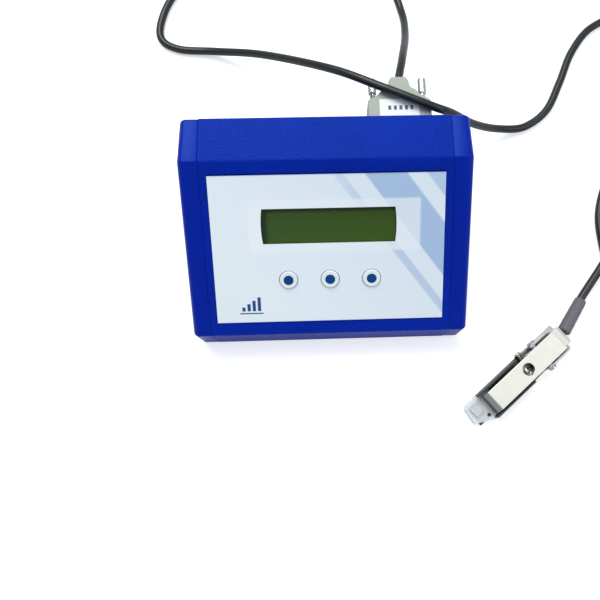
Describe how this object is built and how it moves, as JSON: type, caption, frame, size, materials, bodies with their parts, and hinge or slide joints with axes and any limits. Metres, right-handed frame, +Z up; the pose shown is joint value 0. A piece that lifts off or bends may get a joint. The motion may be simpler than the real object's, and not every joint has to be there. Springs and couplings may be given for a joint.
{
  "type": "hand dynamometer",
  "caption": "Desk readout console with sloping display and key panel, joined by a free cable and screw-locked plug to a pinch force sensor with a sprung lever.",
  "frame": {"origin": "centre of the console's flat underside, on the table", "axes": "+X to the right of the front panel, +Y to the rear where the plug is, +Z up"},
  "size_m": [0.293, 0.2808, 0.0642],
  "materials": {
    "case_blue": "fine grained",
    "cheek_blue": "fine grained, slightly smoother",
    "zinc": "zinc plated",
    "pad_rubber": "matt",
    "overlay_print": "satin printed film",
    "clear_pane": "clear film",
    "dark_bezel": "satin black",
    "display_green": "display glass with polariser",
    "backlight": "light guide",
    "circuit_green": "solder mask",
    "key_white": "satin",
    "black_plastic": "moulded",
    "ribbon_grey": "flat cable sleeve",
    "battery_sleeve": "plain sleeve",
    "nickel": "nickel plated",
    "gold_pin": "gold plated",
    "hood_grey": "fine grained",
    "clamp_grey": "plain",
    "label_white": "paper-like film",
    "cable_black": "satin sheath",
    "sensor_steel": "satin",
    "lever_steel": "satin, lightly worn",
    "beam_aluminium": "milled",
    "gauge_foil": "foil gauge under lacquer",
    "spring_steel": "drawn wire",
    "gland_metal": "milled",
    "boot_rubber": "shrink sleeve",
    "clear_acrylic": "polished edges",
    "black_screw": "blackened"
  },
  "bodies": {
    "console_and_lead": {"top_cover": "case_blue", "base_tray": "case_blue", "left_cheek": "cheek_blue", "right_cheek": "cheek_blue", "case_screws": "zinc", "base_pads": "pad_rubber", "front_overlay": "overlay_print", "display_window": "clear_pane", "display_bezel": "dark_bezel", "display_glass": "display_green", "display_backlight": "backlight", "display_board": "circuit_green", "display_screws": "zinc", "key_switches": "black_plastic", "key_board": "circuit_green", "key_board_screws": "zinc", "main_board": "circuit_green", "board_chips": "black_plastic", "board_connectors": "black_plastic", "main_board_screws": "zinc", "display_ribbon": "ribbon_grey", "input_ribbon": "ribbon_grey", "battery": "battery_sleeve", "battery_snap": "black_plastic", "battery_lid": "case_blue", "battery_lid_screw": "zinc", "socket_shell": "nickel", "socket_insulator": "black_plastic", "jack_posts": "nickel", "plug_shell": "nickel", "plug_insulator": "black_plastic", "plug_pins": "gold_pin", "plug_hood_upper": "hood_grey", "plug_hood_lower": "hood_grey", "hood_screws": "zinc", "cable_clamp": "clamp_grey", "plug_label": "label_white", "cable_main": "cable_black", "cable_coil": "cable_black", "cable_tail": "cable_black", "sensor_channel": "sensor_steel", "pivot_pin": "nickel", "load_beam": "beam_aluminium", "beam_mount": "sensor_steel", "beam_screws": "zinc", "side_screw": "zinc", "centre_screw": "zinc", "strain_gauge": "gauge_foil", "return_spring": "spring_steel", "gland_block": "gland_metal", "cable_boot": "boot_rubber", "tip_pad": "clear_acrylic", "tip_screw": "black_screw"},
    "button_left": {"button_left": "key_white"},
    "button_middle": {"button_middle": "key_white"},
    "button_right": {"button_right": "key_white"},
    "lever": {"sensor_lever": "lever_steel", "push_stud": "lever_steel"},
    "thumbscrew_left": {"thumbscrew_left": "nickel"},
    "thumbscrew_right": {"thumbscrew_right": "nickel"}
  },
  "joints": [
    {"name": "button_left_press", "type": "slide", "parent": "console_and_lead", "child": "button_left", "axis": [0, 0.5299, -0.848], "range_m": [0, 0.0005], "stiffness_N_per_m": 1200, "springref_m": -0.0002},
    {"name": "button_middle_press", "type": "slide", "parent": "console_and_lead", "child": "button_middle", "axis": [0, 0.5299, -0.848], "range_m": [0, 0.0005], "stiffness_N_per_m": 1200, "springref_m": -0.0002},
    {"name": "button_right_press", "type": "slide", "parent": "console_and_lead", "child": "button_right", "axis": [0, 0.5299, -0.848], "range_m": [0, 0.0005], "stiffness_N_per_m": 1200, "springref_m": -0.0002},
    {"name": "lever_pivot", "type": "hinge", "parent": "console_and_lead", "child": "lever", "pos_m": [0.10348, -0.05699, 0.007], "axis": [0.6374, -0.7705, 0], "range_deg": [0, 1.9], "stiffness_Nm_per_rad": 1.2, "springref_deg": -1.15, "deforming": ["return_spring"]},
    {"name": "thumbscrew_left_turn", "type": "hinge", "parent": "console_and_lead", "child": "thumbscrew_left", "pos_m": [0.0235, 0.05, 0.0335], "axis": [0, 1, 0], "continuous": true},
    {"name": "thumbscrew_right_turn", "type": "hinge", "parent": "console_and_lead", "child": "thumbscrew_right", "pos_m": [0.0485, 0.05, 0.0335], "axis": [0, 1, 0], "continuous": true}
  ]
}
